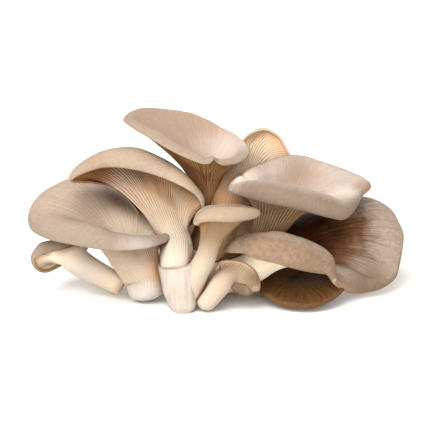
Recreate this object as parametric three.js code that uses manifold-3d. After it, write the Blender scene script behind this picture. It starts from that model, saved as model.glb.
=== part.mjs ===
// Cluster of oyster mushrooms, all sizes in millimetres, +Z up, -Y is the front.
// Every fruiting body is one closed skin: a funnel or fan shaped cap with a rolled
// margin, gills that run down the underside, and a stem that ends at the shared stump.
import * as THREE from 'three';
import { mergeVertices } from 'three/addons/utils/BufferGeometryUtils.js';
import Module from 'manifold-3d';

const wasm = await Module();
wasm.setup();
const { Manifold, Mesh: SolidMesh } = wasm;

// Driving dimensions. flesh: thickness of a cap just inside its rolled margin.
// gill: height of a gill above the valley beside it. The rest are numbers of facets.
const LIP = 1.2; // thickness of the thin edge of the margin
const GAP = 0.35; // clearance kept between neighbouring bodies
const FLOOR_EASE = 2.5; // height below which a skin flattens against the table
const NECK_SHARE = 0.3; // part of the underside that has no cap skin above it
const BIG = { columns: 40, rim: 2, under: 4, top: 3, flesh: 2.4, gill: 1 };
const SMALL = { columns: 28, rim: 2, under: 3, top: 2, flesh: 1.6, gill: 0.5 };

// Stump sections: height, middle x, middle y, half width, half depth
const STUMP = [
  [0, -15, -32, 4, 4],
  [2.5, -15, -30, 6.5, 7],
  [8, -16, -25, 8.5, 12],
  [16, -16.5, -21, 9.5, 14],
  [21, -17, -18, 10, 16],
];
const STUMP_SLOPE = 0.18; // how much the cut top rises towards +X, per millimetre

// Fruiting bodies. rim: points on the crest of the margin, each with its roll radius and,
// where it differs from the body's curl, the degrees that the margin rolls over there.
// aim: the way the cap opens. flare: 1 a flat spread margin, 0 a straight cone, less than
// 0 a bell. throat: how far the gills follow the stem. reach: how far the margin's own
// direction carries inwards. heel: how round the foot is. bend: how far the neck leans
// out of the stem's line. upright: how far the stem starts straight up. fill: how far the cap's middle stands above its funnel.
const BODIES = [
  {
    name: 'left_fan', colour: 0xcbb29a, detail: BIG,
    foot: [-33.4, -16, 6], footR: 8.3, midR: 8.9, neck: [-35, -15, 12.5], neckR: 9.9,
    aim: [-0.45, 0.1, 0.85], flare: 0.65, throat: 0.45, curl: 105, heel: 0.6,
    rim: [
      [-89, -8, 36.5, 4], [-84.5, 8, 43.5, 2.5], [-70.5, 22, 49, 2.5], [-54.5, 33, 47, 2.5],
      [-37.5, 24, 37.5, 2.5], [-27.5, 6, 31, 2.5], [-21, -14, 31.5, 3], [-31, -30, 32.5, 6],
      [-47.5, -38, 33.5, 7], [-64, -36, 35, 7], [-80.5, -24, 35, 5.5],
    ],
  },
  {
    name: 'centre_small', colour: 0xe0c6a8, detail: SMALL,
    foot: [-14.2, -30, 6], footR: 7.8, midR: 5.2, neck: [-3.1, -30, 28.5], neckR: 4.4,
    aim: [0.22, 0, 1], flare: 0.35, throat: 0.3, reach: 0.2, curl: 115, fill: 9, lip: 3.4, flesh: 3.8,
    rim: [
      [-11.5, -34, 44.5, 4.6, 130], [-8.5, -28, 45.5, 3.5], [-3.5, -22, 45, 3],
      [4.5, -18, 44.5, 3], [13, -18, 44.5, 3], [18.5, -22, 45, 3], [21, -30, 46, 3.5],
      [16, -38, 47.6, 4.3], [8, -43, 48.4, 4.9], [-1.5, -43, 48.5, 4.9], [-8, -40, 47.2, 5],
    ],
  },
  {
    name: 'front_hood', colour: 0xe6d0b4, detail: SMALL,
    foot: [-4.6, -33, 3.6], footR: 4.2, midR: 5.2, neck: [3.4, -32, 12.6], neckR: 6.6,
    aim: [0.5, 0.68, 0.54], flare: -0.3, throat: 0.5, reach: 0.3, curl: 60,
    heel: 0.7, lip: 1.4, flesh: 1.8,
    rim: [
      [0.3, -25, 20.1, 1.8], [2.8, -23, 22, 1.8], [7, -22, 22.9, 1.8], [13, -22, 21.9, 1.8],
      [17.6, -23, 19.2, 2], [20.6, -26, 15.4, 2.4], [21.5, -29, 11.4, 2.4, 110],
      [20.8, -31, 10.4, 2.2, 140], [18, -32, 10, 2, 150], [14.5, -31, 10.2, 2, 120],
      [9, -28, 8.5, 1.5], [2, -26, 8, 1.5], [-1, -23, 13, 1.5],
    ],
  },
  {
    name: 'left_arched', colour: 0xd6bba0, detail: BIG,
    foot: [-17.8, -24.5, 17], footR: 8.6, midR: 7.6, neck: [-19.5, -9, 28.5], neckR: 7.5,
    aim: [-0.35, 0.6, 0.72], flare: 0.9, throat: 0.35, curl: 128, upright: 0.9,
    rim: [
      [-5, -9, 44, 2.2], [-7.5, -8, 52, 4.6], [-15.5, -6, 59.2, 8], [-27, -5, 64.4, 8.5],
      [-40, -5, 67.7, 8.5], [-53.5, -6, 66.8, 6.5], [-64, -6, 62.2, 4.5], [-69, -2, 56, 2.5],
      [-60, 7, 53, 2], [-49.5, 15, 48, 2], [-40.5, 14, 39.5, 2], [-32, 9, 29.5, 2],
      [-21, 11, 25.5, 2], [-10.5, 8, 32.5, 2],
    ],
  },
  {
    name: 'right_brown', colour: 0xa98a72, detail: BIG,
    foot: [-10, -14, 8], footR: 8, midR: 7.5, neck: [20.5, -14, 18], neckR: 8,
    aim: [0.75, 0.15, 0.6], flare: 0.6, throat: 0.4, curl: 105,
    rim: [
      [5, -23, 26, 3, 140], [13.5, -32.5, 32, 6.2, 150], [21.5, -36.6, 33, 7.8, 150],
      [30, -38, 32.3, 8.4, 150], [38.2, -37.8, 29.6, 8.2, 150], [46, -35.2, 25.6, 7.4, 150],
      [54, -31, 21, 5.5, 150], [55.8, -28, 16, 3, 140], [57.5, -25, 11.3, 4],
      [62.5, -20, 6.5, 5], [71.5, -12, 3, 5], [79, -8, 3.5, 4], [85.5, -3, 6.5, 3],
      [88.5, 2, 11.5, 3], [91, 9, 23, 3], [88, 17, 30.5, 2.5], [82.5, 24, 35, 2.5],
      [73.5, 30, 37, 2.5], [60.5, 33, 35.5, 2.5], [46.5, 30, 31.5, 2.5], [34, 22, 26.5, 2.5],
      [24, 6, 26, 2.5], [13.5, -10, 29, 3],
    ],
  },
  {
    name: 'top_funnel', colour: 0xd3b9a5, detail: BIG,
    foot: [-13, -6, 6], footR: 7, midR: 6, neck: [-3.5, 12, 43.5], neckR: 5.5,
    aim: [-0.2, 0, 1], flare: 0.4, throat: 0.4, curl: 95,
    rim: [
      [-44, 15, 82.5, 3], [-38.5, 30, 83, 2.5], [-27, 42, 80.5, 2.5], [-13.5, 48, 77, 2.5],
      [1.5, 46, 71.5, 2.5], [12.5, 34, 67.5, 2.5], [16.5, 16, 66.5, 3], [13, 0, 65.5, 4],
      [5, -9, 66, 4], [-0.5, -12, 68, 3], [-8, -15, 68.5, 5], [-20, -13, 73.5, 5],
      [-30.5, -6, 78, 5], [-39, 2, 81, 4],
    ],
  },
  {
    name: 'right_pale', colour: 0xd0b8a4, detail: BIG,
    foot: [-9, -2, 7], footR: 7, midR: 7.5, neck: [24.5, 6, 25], neckR: 8,
    aim: [0.35, 0, 0.9], flare: 0.6, throat: 0.4, curl: 105,
    rim: [
      [7, -8, 53.5, 4], [12, 2, 56.5, 2.5], [22.5, 18, 59, 2.5], [36.5, 30, 59.5, 2.5],
      [49, 34, 56.5, 2.5], [61.5, 32, 52.5, 2.5], [71.5, 24, 49.5, 3], [75.2, 12, 49, 2.5],
      [70, 1, 47, 2.5], [67, -9, 45, 4, 120], [62.5, -16.5, 43.8, 5.3, 135],
      [56, -20.5, 46.2, 6, 135], [49, -23, 48.8, 6.2, 135], [39.5, -24, 51.8, 6.2, 135],
      [26.5, -22, 54, 6.2, 135], [14.5, -17, 55, 5.6, 130],
    ],
  },
  {
    name: 'low_brown', colour: 0x7d5c41, detail: SMALL,
    foot: [-9, -5, 9], footR: 6, midR: 4.5, neck: [36, -8, 4.5], neckR: 3.5,
    aim: [0.2, -0.55, 0.8], flare: 0.9, throat: 0.2, curl: 80, fill: 3,
    rim: [
      [21, -20, 7, 1.5], [25, -28, 4.5, 1.8], [31.5, -33, 2.8, 2], [39.5, -35, 2.2, 2],
      [48, -34, 2.8, 2], [56, -29, 5, 2], [61.5, -20, 7, 2], [63.5, -8, 9, 2], [59, 0, 12, 2],
      [48.5, 4, 14, 2], [34, 4, 14, 2], [23, -4, 11, 2],
    ],
  },
  {
    name: 'back_low', colour: 0xc2a78e, detail: BIG,
    foot: [-12, -2, 6], footR: 7, midR: 6.5, neck: [0, 18, 20], neckR: 6,
    aim: [0, 0.8, 0.5], flare: 0.9, throat: 0.35, curl: 100,
    rim: [
      [-22, 38, 20, 3], [-18, 34, 34, 3], [-5, 30, 43, 3], [10, 32, 42, 3], [21, 37, 32, 3],
      [25, 42, 18, 3], [18, 48, 6, 4], [3, 51, 1.5, 4], [-12, 47, 5, 4],
    ],
  },
  {
    name: 'back_top', colour: 0xe2c6a4, detail: SMALL,
    foot: [-9, 2, 7], footR: 6, midR: 6, neck: [10, 23, 50], neckR: 5,
    aim: [0.3, 0.8, 0.5], flare: 0.9, throat: 0.3, curl: 80,
    rim: [
      [12, 38, 64.5, 2], [17, 40, 68.5, 2], [24.5, 41, 70.5, 2], [31.5, 40, 67.5, 2],
      [35.5, 38, 62.5, 2], [38, 36, 56, 2], [37, 34, 46, 2], [27, 32, 38, 2], [14, 31, 35, 2],
      [3, 33, 41, 2], [1, 36, 52, 2], [5, 37, 60, 2],
    ],
  },
  {
    name: 'small_left', colour: 0xd2b99e, detail: SMALL,
    foot: [-44.2, -13.5, 6.6], footR: 4.6, midR: 6, neck: [-67.5, -8, 19], neckR: 6.6,
    aim: [-0.6, 0.55, 0.58], flare: 0.8, throat: 0.3, curl: 125, heel: 0.1, bend: 0.2, flesh: 1.8,
    rim: [
      [-60, 8, 24, 2], [-70, -2, 26, 3.8, 140], [-80, -7, 25, 3.8, 140],
      [-85, -8, 22.5, 3.4, 135], [-87.5, -8, 18.5, 2.5], [-86, -5, 12.5, 2], [-82, 4, 8.5, 1.5],
      [-75, 13, 9.5, 1.5], [-65, 15, 15, 2],
    ],
  },
];

const vec = (p) => new THREE.Vector3(p[0], p[1], p[2]);
const mix = (a, b, t) => a + (b - a) * t;
const step = (a, d, t) => a.clone().addScaledVector(d, t);

// Point of a closed curve through the given points, t in 0..1 (uniform Catmull-Rom).
function onRing(points, t, size) {
  const n = points.length;
  const x = (((t % 1) + 1) % 1) * n;
  const i = Math.floor(x);
  const f = x - i;
  const [a, b, c, d] = [-1, 0, 1, 2].map((k) => points[(i + k + n) % n]);
  const out = [];
  for (let k = 0; k < size; k++) {
    const p = 2 * b[k] + (c[k] - a[k]) * f + (2 * a[k] - 5 * b[k] + 4 * c[k] - d[k]) * f * f;
    out.push(0.5 * (p + (3 * b[k] - a[k] - 3 * c[k] + d[k]) * f * f * f));
  }
  return out;
}

function bezier(a, b, c, d, s) {
  const q = 1 - s;
  return a.clone().multiplyScalar(q * q * q).addScaledVector(b, 3 * q * q * s)
    .addScaledVector(c, 3 * q * s * s).addScaledVector(d, s * s * s);
}

// Mean over neighbouring columns of a ring, with weights that fall off linearly.
function ringMean(values, reach, add, scale) {
  return values.map((v, i) => {
    let sum = scale(v, 1);
    let weight = 1;
    for (let k = 1; k <= reach; k++) {
      const w = 1 - k / (reach + 1);
      sum = add(sum, scale(values[(i + k) % values.length], w));
      sum = add(sum, scale(values[(i - k + values.length) % values.length], w));
      weight += 2 * w;
    }
    return scale(sum, 1 / weight);
  });
}
const meanVectors = (list, reach) => ringMean(
  list, reach, (a, b) => a.add(b), (a, s) => a.clone().multiplyScalar(s),
).map((v) => v.normalize());
const meanNumbers = (list, reach) => ringMean(list, reach, (a, b) => a + b, (a, s) => a * s);

// Frames round the margin: one per column, from the crest curve and the neck of the stem.
function columnsOf(body, count) {
  const aim = vec(body.aim).normalize();
  const neck = vec(body.neck);
  const side = new THREE.Vector3(0.3, 1, 0.2).cross(aim).normalize();
  const front = aim.clone().cross(side);
  let rim = body.rim.map((p) => [...p, body.curl].slice(0, 5));
  let turn = 0;
  for (let i = 0; i < rim.length; i++) {
    const a = vec(rim[i]).sub(neck);
    turn += a.cross(vec(rim[(i + 1) % rim.length]).sub(neck)).dot(aim);
  }
  if (turn < 0) rim = [...rim].reverse();
  const n = 240;
  const crest = [];
  for (let i = 0; i <= n; i++) crest.push(vec(onRing(rim, i / n, 3)));
  const along = [0];
  const angle = [];
  crest.forEach((p, i) => {
    if (i > 0) along.push(along[i - 1] + p.distanceTo(crest[i - 1]));
    const r = p.clone().sub(neck);
    let a = Math.atan2(r.dot(front), r.dot(side));
    while (i > 0 && a - angle[i - 1] > Math.PI) a -= 2 * Math.PI;
    while (i > 0 && a - angle[i - 1] < -Math.PI) a += 2 * Math.PI;
    angle.push(a);
  });
  const share = along.map((l) => l / along[n]);
  let furthest = 0;
  const off = angle.slice(0, n).map((a, i) => {
    furthest = Math.min(2 * Math.PI, Math.max(furthest, a - angle[0]));
    return furthest - 2 * Math.PI * share[i];
  });
  const even = meanNumbers(off, 12);
  even.push(even[0]);
  const around = share.map((s, i) => angle[0] + 2 * Math.PI * s + 0.92 * even[i]);
  const travel = share.map((s, i) => mix((around[i] - around[0]) / (2 * Math.PI), s, 0.65));
  const lead = meanVectors(crest.slice(0, n).map((p) => {
    const r = p.clone().sub(neck);
    const flat = step(r, aim, -r.dot(aim)).normalize();
    return r.normalize().multiplyScalar(1 - body.flare).addScaledVector(flat, body.flare).normalize();
  }), Math.floor(n * 0.06));
  const columns = [];
  for (let c = 0; c < count; c++) {
    const u = c / count;
    let i = 0;
    while (i < n - 1 && travel[i + 1] <= u) i++;
    const f = (u - travel[i]) / (travel[i + 1] - travel[i]);
    const t = (i + f) / n;
    const a = mix(around[i], around[i + 1], f);
    const spoke = side.clone().multiplyScalar(Math.cos(a)).addScaledVector(front, Math.sin(a));
    const [x, y, z, roll, curl] = onRing(rim, t, 5);
    const ahead = vec(onRing(rim, t + 1e-3, 3));
    const tangent = ahead.sub(vec(onRing(rim, t - 1e-3, 3))).normalize();
    const out = lead[i].clone().lerp(lead[(i + 1) % n], f).normalize();
    const square = step(out, tangent, -out.dot(tangent)).normalize();
    const up = square.clone().cross(tangent);
    const flesh = Math.min(body.flesh ?? body.detail.flesh, roll * 0.8);
    const top = vec([x, y, z]).addScaledVector(square, -roll).addScaledVector(up, roll);
    const start = step(neck, spoke, body.neckR);
    const end = step(top, up, -flesh);
    columns.push({
      spoke, square, up, out, roll, flesh, top, start, end, curl: THREE.MathUtils.degToRad(curl),
    });
  }
  columns.forEach((c) => {
    c.length = c.end.distanceTo(c.start);
    const rise = c.end.clone().sub(c.start).dot(aim);
    const lift = body.throat * Math.max(0.25 * c.length, Math.min(c.length, 1.3 * rise));
    c.under = [
      c.start, step(c.start, aim, lift),
      step(c.end, c.out, -(body.reach ?? 0.35) * c.length), c.end,
    ];
  });
  const core = columns.map((c) => Math.min(0.75 * body.neckR, Math.max(0.28 * c.length, c.flesh)));
  meanNumbers(core, Math.max(1, Math.floor(count * 0.05))).forEach((v, i) => {
    columns[i].core = v;
  });
  return { aim, neck, columns };
}

// Points and upward normals of the underside at one share s of the way from neck to margin.
function underRing(columns, s) {
  const points = columns.map((c) => bezier(...c.under, s));
  const ahead = columns.map((c) => bezier(...c.under, Math.min(1, s + 0.01)));
  const behind = columns.map((c) => bezier(...c.under, Math.max(0, s - 0.01)));
  const n = columns.length;
  const raw = points.map((p, i) => {
    const tangent = ahead[i].clone().sub(behind[i]);
    const across = points[(i + 1) % n].clone().sub(points[(i - 1 + n) % n]);
    return tangent.cross(across).normalize();
  });
  const blend = Math.max(0, (s - 0.8) / 0.2);
  const normals = meanVectors(raw, Math.max(1, Math.floor(n * 0.04)))
    .map((v, i) => v.lerp(columns[i].up, blend).normalize());
  return { points, normals };
}

// All rings of a body from the middle of the cap's top, over the margin, down to the foot.
function ringsOf(body) {
  const { detail } = body;
  const { aim, neck, columns } = columnsOf(body, detail.columns);
  const n = columns.length;
  const rings = [];
  const topAt = (s) => {
    const { points, normals } = underRing(columns, s);
    return points.map((p, i) => {
      const c = columns[i];
      return step(p, normals[i], mix(c.flesh, c.core, (1 - s) ** 1.5));
    });
  };
  const inner = topAt(NECK_SHARE);
  const middle = inner.reduce((a, p) => a.add(p), new THREE.Vector3()).divideScalar(n);
  for (let k = detail.top; k > 0; k--) {
    const v = k / detail.top;
    const ring = topAt(1 - v * (1 - NECK_SHARE));
    const filled = (body.fill ?? 0) * v * v * (3 - 2 * v);
    rings.push(ring.map((p) => p.lerp(middle, v ** 3).addScaledVector(aim, filled)));
  }
  const marginRing = (share, deep) => columns.map((c) => {
    const a = share * c.curl;
    const thin = Math.min(body.lip ?? LIP, c.flesh);
    const r = c.roll - (deep ? mix(c.flesh, thin, share) : 0);
    return step(step(c.top, c.up, -c.roll), c.square, r * Math.sin(a))
      .addScaledVector(c.up, r * Math.cos(a));
  });
  for (let k = 0; k <= detail.rim; k++) rings.push(marginRing(k / detail.rim, false));
  for (let k = detail.rim; k > 1; k--) rings.push(marginRing(k / detail.rim, true));
  for (let k = detail.under; k >= 0; k--) {
    const s = k / detail.under;
    const { points, normals } = underRing(columns, s);
    const depth = detail.gill * (s < 1 ? Math.min(1, 0.4 + 1.2 * s) : 0.5);
    rings.push(points.map((p, i) => (i % 2 ? p : step(p, normals[i], depth))));
  }
  const foot = vec(body.foot);
  const spine = neck.clone().sub(foot);
  const upright = body.upright ?? 0;
  const length = spine.length();
  const first = spine.clone().normalize().multiplyScalar(1 - upright).add(vec([0, 0, upright]));
  const bend = [
    foot, step(foot, first, 0.33 * length), step(neck, aim, -(body.bend ?? 0.35) * length), neck,
  ];
  const stemRing = (q, radius, drop) => {
    const middleOf = bezier(...bend, q);
    const tangent = bezier(...bend, Math.min(1, q + 0.01)).sub(bezier(...bend, Math.max(0, q - 0.01)));
    tangent.normalize();
    const swing = new THREE.Quaternion().setFromUnitVectors(aim, tangent);
    return columns.map((c, i) => {
      const r = radius - (i % 2 ? 0 : 0.35 * q * Math.min(1, radius));
      return step(middleOf, c.spoke.clone().applyQuaternion(swing), r).addScaledVector(tangent, -drop);
    });
  };
  rings.push(stemRing(0.5, body.midR, 0));
  rings.push(stemRing(0, body.footR, 0));
  rings.push(stemRing(0, body.footR * 0.7, (body.heel ?? 0.5) * body.footR * 0.7));
  rings.push(stemRing(0, 0, (body.heel ?? 0.5) * body.footR));
  return rings;
}

// Skin lowered onto the table: heights near zero are pressed into a flat contact patch.
function onTable(p) {
  if (p.z < FLOOR_EASE) p.z = FLOOR_EASE * Math.exp((p.z - FLOOR_EASE) / FLOOR_EASE);
  return p;
}

// Closed skin from rings, as a sphere whose rows are laid onto them.
function skin(rings) {
  const columns = rings[0].length;
  const geometry = new THREE.SphereGeometry(1, columns, rings.length - 1);
  const place = geometry.getAttribute('position');
  for (let r = 0; r < rings.length; r++) {
    for (let c = 0; c <= columns; c++) {
      const p = rings[r][c % columns];
      place.setXYZ(r * (columns + 1) + c, p.x, p.y, p.z);
    }
  }
  geometry.deleteAttribute('normal');
  geometry.deleteAttribute('uv');
  return mergeVertices(geometry, 1e-4);
}

function stumpRings() {
  const columns = 28;
  const ring = ([z, x, y, half, deep], slope) => {
    const points = [];
    for (let c = 0; c < columns; c++) {
      const a = (2 * Math.PI * c) / columns;
      const px = x + half * Math.sign(Math.cos(a)) * Math.abs(Math.cos(a)) ** 0.85;
      const py = y + deep * Math.sign(Math.sin(a)) * Math.abs(Math.sin(a)) ** 0.85;
      points.push(new THREE.Vector3(px, py, z + slope * (px - x)));
    }
    return points;
  };
  const last = STUMP[STUMP.length - 1];
  const rings = [ring([last[0] + 0.1, last[1], last[2], 0, 0], 0)];
  for (let k = STUMP.length - 1; k >= 0; k--) {
    rings.push(ring(STUMP[k], k === STUMP.length - 1 ? STUMP_SLOPE : 0));
  }
  rings.push(ring([0, STUMP[0][1], STUMP[0][2], 0, 0], 0));
  return rings;
}

function solid(geometry, grow = 0) {
  const position = geometry.getAttribute('position').clone();
  if (grow > 0) {
    geometry.computeVertexNormals();
    const normal = geometry.getAttribute('normal');
    for (let i = 0; i < position.count; i++) {
      position.setXYZ(
        i, position.getX(i) + grow * normal.getX(i),
        position.getY(i) + grow * normal.getY(i), position.getZ(i) + grow * normal.getZ(i),
      );
    }
    geometry.deleteAttribute('normal');
  }
  return new Manifold(new SolidMesh({
    numProp: 3, vertProperties: new Float32Array(position.array),
    triVerts: new Uint32Array(geometry.index.array),
  }));
}

function biggest(shape) {
  const pieces = shape.decompose();
  pieces.sort((a, b) => b.volume() - a.volume());
  return pieces[0];
}

function geometryOf(shape) {
  const mesh = shape.getMesh();
  const geometry = new THREE.BufferGeometry();
  geometry.setAttribute('position', new THREE.BufferAttribute(new Float32Array(mesh.vertProperties), 3));
  geometry.setIndex(new THREE.BufferAttribute(new Uint32Array(mesh.triVerts), 1));
  return geometry;
}

const cluster = new THREE.Group();
const addPiece = (name, colour, geometry) => {
  const material = new THREE.MeshStandardMaterial({ color: colour, roughness: 0.75, metalness: 0 });
  const mesh = new THREE.Mesh(geometry, material);
  mesh.name = name;
  cluster.add(mesh);
};

const stump = skin(stumpRings());
addPiece('stump', 0xefe4d6, geometryOf(solid(stump)));
let taken = solid(stump, GAP);
for (const body of BODIES) {
  const rings = ringsOf(body).map((ring) => ring.map(onTable));
  const geometry = skin(rings);
  const whole = solid(geometry);
  addPiece(body.name, body.colour, geometryOf(biggest(whole.subtract(taken))));
  taken = taken.add(solid(geometry, GAP));
}

// The origin is the middle of the underside of the whole cluster.
const box = new THREE.Box3().setFromObject(cluster);
const centre = box.getCenter(new THREE.Vector3());
cluster.position.set(-centre.x, -centre.y, -box.min.z);

export default cluster;
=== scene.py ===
"""Cluster of oyster mushrooms on a white table.

Every fruiting body is one closed skin that starts as a grid, one column per step round
the margin and one row per step from the foot, up the stem and the gills, over the rolled
margin and across the cap to its middle. The rows and columns are laid on the body's own
growth curves, the same as in the solids, and the gills are cut into the underside.
"""

import math

import bmesh
import bpy
import numpy as np
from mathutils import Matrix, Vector
from mathutils.bvhtree import BVHTree


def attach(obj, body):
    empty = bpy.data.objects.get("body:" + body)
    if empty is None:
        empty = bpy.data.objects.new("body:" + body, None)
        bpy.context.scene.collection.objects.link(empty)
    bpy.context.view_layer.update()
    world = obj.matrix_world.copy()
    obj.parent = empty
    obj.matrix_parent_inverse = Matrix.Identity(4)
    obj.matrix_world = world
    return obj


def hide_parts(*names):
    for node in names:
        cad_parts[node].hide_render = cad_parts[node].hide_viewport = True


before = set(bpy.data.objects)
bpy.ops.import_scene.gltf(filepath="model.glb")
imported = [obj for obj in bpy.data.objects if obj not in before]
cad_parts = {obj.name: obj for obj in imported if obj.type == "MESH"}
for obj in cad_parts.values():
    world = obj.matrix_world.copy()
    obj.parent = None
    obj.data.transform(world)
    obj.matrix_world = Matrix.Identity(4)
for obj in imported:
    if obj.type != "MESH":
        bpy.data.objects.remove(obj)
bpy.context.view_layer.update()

MM = 0.001
# Growth points are in millimetres from the middle of the stump's front; this moves them
# to the middle of the underside of the whole cluster.
MIDDLE = np.array([-1.38, -4.08, 0.0])
LIP = 1.2  # thickness of the thin edge of the margin
FLOOR_EASE = 2.5  # height below which a skin flattens against the table
NECK_SHARE = 0.3  # part of the underside that has no cap skin above it
GILL_SPACING = 1.15  # distance between gill edges, near the margin and down the stem alike
# Rows of the grid in each stretch of the skin, from the foot to the middle of the cap. A
# place on the growth scale counts these stretches: 2.5 is half way out along the gills.
ROWS = {"foot": 5, "stem": 26, "gills": 28, "inner roll": 8, "edge": 4, "outer roll": 10, "cap": 26}
COLUMNS_PER_GILL = 3  # of the same grid: one on the edge of the gill, two beside it

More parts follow.
